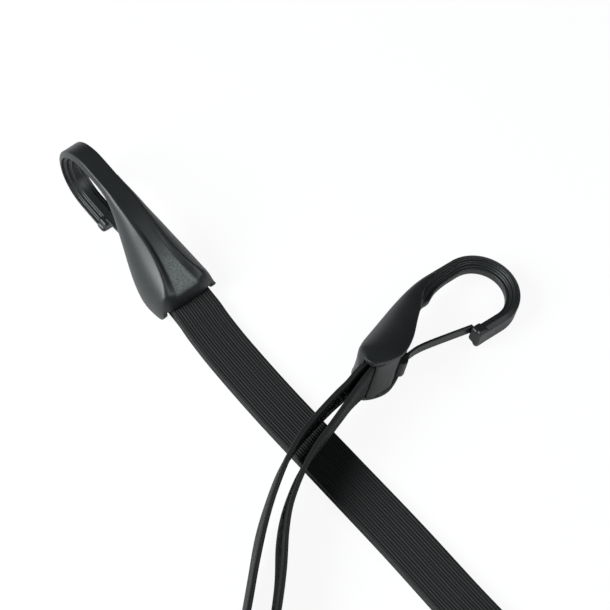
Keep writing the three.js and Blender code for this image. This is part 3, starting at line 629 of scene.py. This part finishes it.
inner_u = POCKET_END_U - SEAT
heel_line = np.linspace(PLUG_HEEL_U, PLUG_CROWN_U + 0.3, 20)
roll_v = tail_v(PLUG_START_U) + slot_half
roll_run, roll_rise = PLUG_CROWN_U - PLUG_START_U, cheek_v(PLUG_CROWN_U) - PLUG_INSET - roll_v
plug_outline = [
    (LIP_LENGTH, roll_v),
    (LIP_LENGTH, tail_v(LIP_LENGTH) + CLIP_FLOOR), (CLIP_STOP_U, tail_v(CLIP_STOP_U) + CLIP_FLOOR),
    (CLIP_STOP_U, SPINE_V), (inner_u, SPINE_V), (inner_u, cheek_v(inner_u) - WEB_INSET),
    (PLUG_HEEL_U, cheek_v(PLUG_HEEL_U) - WEB_INSET - PLUG_INSET),
    *((u, cheek_v(u) - PLUG_INSET) for u in heel_line),
    *((PLUG_CROWN_U - roll_run * cos(a), roll_v + roll_rise * sin(a))
      for a in np.linspace(pi / 2, 0, 24)),
]
reach = CURL_OUTER + 2 * SEAT
plug = trimmed(prism(plug_outline, CHEEK_MOUTH_WIDTH), pocket(SEAT), "INTERSECT")
plug = trimmed(plug, rail_bar(reach, CURL_WIDTH + 2 * reach), "DIFFERENCE")
rail_length = CURL_WIDTH - RAIL_END_GAP
rail_web = block((RAIL_WEB_LENGTH, RAIL_WEB_THICKNESS, rail_length),
                 Matrix.Translation((RAIL_U, RAIL_V, 0)) @ Matrix.Rotation(RAIL_WEB_ANGLE, 4, "Z")
                 @ Matrix.Translation((RAIL_WEB_LENGTH / 2, 0, 0)))
plug_moulding = moulded(plug, rail_bar(RAIL_RADIUS, rail_length), rail_web,
                        voxel=0.26, rounds=3, keep=0.7)
on_each_hook(plug_moulding, hook_nylon, "mouth_plug_{}", "strap", "end_plug_{}")


# Leaf gates: springy acetal strips that close the loop. A wider curl at the root snaps round the rail,
# and the tip bears on the inside of the nose, so the gate gives inwards and shuts behind the bar.
LEAF_WIDTH, LEAF_THICKNESS, KNUCKLE_END = 5, 1.3, 0.6
LEAF_LINE = ((24.5, 10.3), (33, 10.4), (56, NOSE_V - LOOP_DEPTH - 0.3))
NECK = ((22.4, 11.75), (23.4, 10.95))
CURL_FROM, CURL_TO, NECK_FROM, NECK_TO, NECK_FOOT = 178, -81, -72, 24, 16


def curl_arc(radius, start, end, steps):
    """Points round the rail, their angles in degrees from along the hook towards the gate."""
    return [(RAIL_U + radius * cos(a), RAIL_V + radius * sin(a))
            for a in np.radians(np.linspace(start, end, steps))]


leaf_outer = spline(LEAF_LINE, np.linspace(0, 1, 40), 0)
leaf_inner = leaf_outer - (0, LEAF_THICKNESS)
curl = prism(curl_arc(CURL_OUTER, CURL_FROM, CURL_TO, 60) + curl_arc(CURL_INNER, CURL_TO, CURL_FROM, 60),
             CURL_WIDTH)
leaf = prism([
    *map(tuple, leaf_outer), *map(tuple, leaf_inner[::-1]), *curl_arc(CURL_OUTER, NECK_FROM, CURL_TO, 4),
    *curl_arc((CURL_INNER + CURL_OUTER) / 2, CURL_TO, NECK_TO, 20),
    *curl_arc(CURL_OUTER, NECK_TO, NECK_FOOT, 3), *NECK,
], LEAF_WIDTH)
knuckle_ends = [rail_bar(CURL_OUTER, KNUCKLE_END, way * (CURL_WIDTH - KNUCKLE_END) / 2)
                for way in (-1, 1)]
gate_moulding = moulded(curl, leaf, *knuckle_ends, voxel=0.18, rounds=3, keep=0.6)

gate_acetal, tree = material("gate_acetal")
here = tree.node("ShaderNodeTexCoord", output="Object")
satin = tree.node("ShaderNodeTexNoise", None, {"Vector": here, "Scale": 900, "Detail": 3})
surface(tree, {
    "Base Color": satin.mix((0.010, 0.0105, 0.011, 1), (0.019, 0.0198, 0.0205, 1)),
    "Roughness": 0.34 + satin * 0.14,
    "Normal": tree.node("ShaderNodeBump", None, {
        "Strength": 0.15, "Distance": 0.00003, "Height": satin,
    }),
})
on_each_hook(gate_moulding, gate_acetal, "leaf_gate_{}", "gate_{}", "gate_{}")


# Clips and rivets: bright pressed steel, folded round both webbing tails and riveted through them
# before the hook goes on. They sit out of sight behind the lip of the mouth.
clip_steel, tree = material("clip_steel")
here = tree.node("ShaderNodeTexCoord", output="Object")
brushed = tree.node("ShaderNodeTexNoise", None, {
    "Vector": tree.node("ShaderNodeMapping", None, {"Vector": here, "Scale": (9000, 300, 9000)}),
    "Scale": 1, "Detail": 3,
})
surface(tree, {
    "Base Color": brushed.mix((0.38, 0.385, 0.39, 1), (0.55, 0.555, 0.56, 1)),
    "Metallic": 1.0,
    "Roughness": 0.24 + brushed * 0.2,
    "Normal": tree.node("ShaderNodeBump", None, {
        "Strength": 0.1, "Distance": 0.00002, "Height": brushed,
    }),
})
for name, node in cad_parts.items():
    if name.startswith(("webbing_clip", "clip_rivet")):
        node.data.materials.clear()
        node.data.materials.append(clip_steel)


# Studio: a wide white table under a large soft box in front on the left, a weaker one on the right
# and a dim grey room, so that upright faces pick up the table and flat tops stay dark.
TABLE_HALF, LAMP_DISTANCE, LAMP_TINT = 4, 1.1, (0.93, 0.985, 1)
table_top, tree = material("white_table")
to_camera = tree.node("ShaderNodeLightPath")
mirrored = tree.math("MAXIMUM", to_camera.out("Is Glossy Ray"), to_camera.out("Is Transmission Ray"))
seen = tree.math("MAXIMUM", to_camera * 0.92, mirrored * 0.3)
paper = tree.node("ShaderNodeBsdfDiffuse", None, {"Color": (0.9, 0.9, 0.9, 1)})
glow = tree.node("ShaderNodeEmission", None, {"Color": (1, 1, 1, 1), "Strength": 1})
tree.node("ShaderNodeOutputMaterial", None, {
    "Surface": tree.node("ShaderNodeMixShader", None, {0: seen, 1: paper, 2: glow}),
})
bm = bmesh.new()
bmesh.ops.create_grid(bm, x_segments=1, y_segments=1, size=TABLE_HALF)
table = placed("table", bm)
bm.free()
table.data.materials.append(table_top)

room = bpy.data.worlds.new("room")
room.use_nodes = True
room.node_tree.nodes.clear()
tree = Value(room.node_tree)
to_camera = tree.node("ShaderNodeLightPath")
dim = tree.node("ShaderNodeBackground", None, {"Color": (0.045, 0.047, 0.05, 1), "Strength": 1})
white = tree.node("ShaderNodeBackground", None, {"Color": (1, 1, 1, 1), "Strength": 1})
tree.node("ShaderNodeOutputWorld", None, {
    "Surface": tree.node("ShaderNodeMixShader", None, {0: to_camera, 1: dim, 2: white}),
})
scene.world = room

for name, towards, size, power in (
    ("soft_box_left", Vector((-0.18, -0.78, 0.6)), 0.6, 21),
    ("soft_box_right", Vector((0.66, 0.38, 0.67)), 0.5, 4),
):
    lamp = bpy.data.lights.new(name, "AREA")
    lamp.shape, lamp.size, lamp.energy, lamp.color = "SQUARE", size, power, LAMP_TINT
    soft_box = bpy.data.objects.new(name, lamp)
    soft_box.location = towards.normalized() * LAMP_DISTANCE
    soft_box.rotation_euler = towards.to_track_quat("Z", "Y").to_euler()
    scene.collection.objects.link(soft_box)
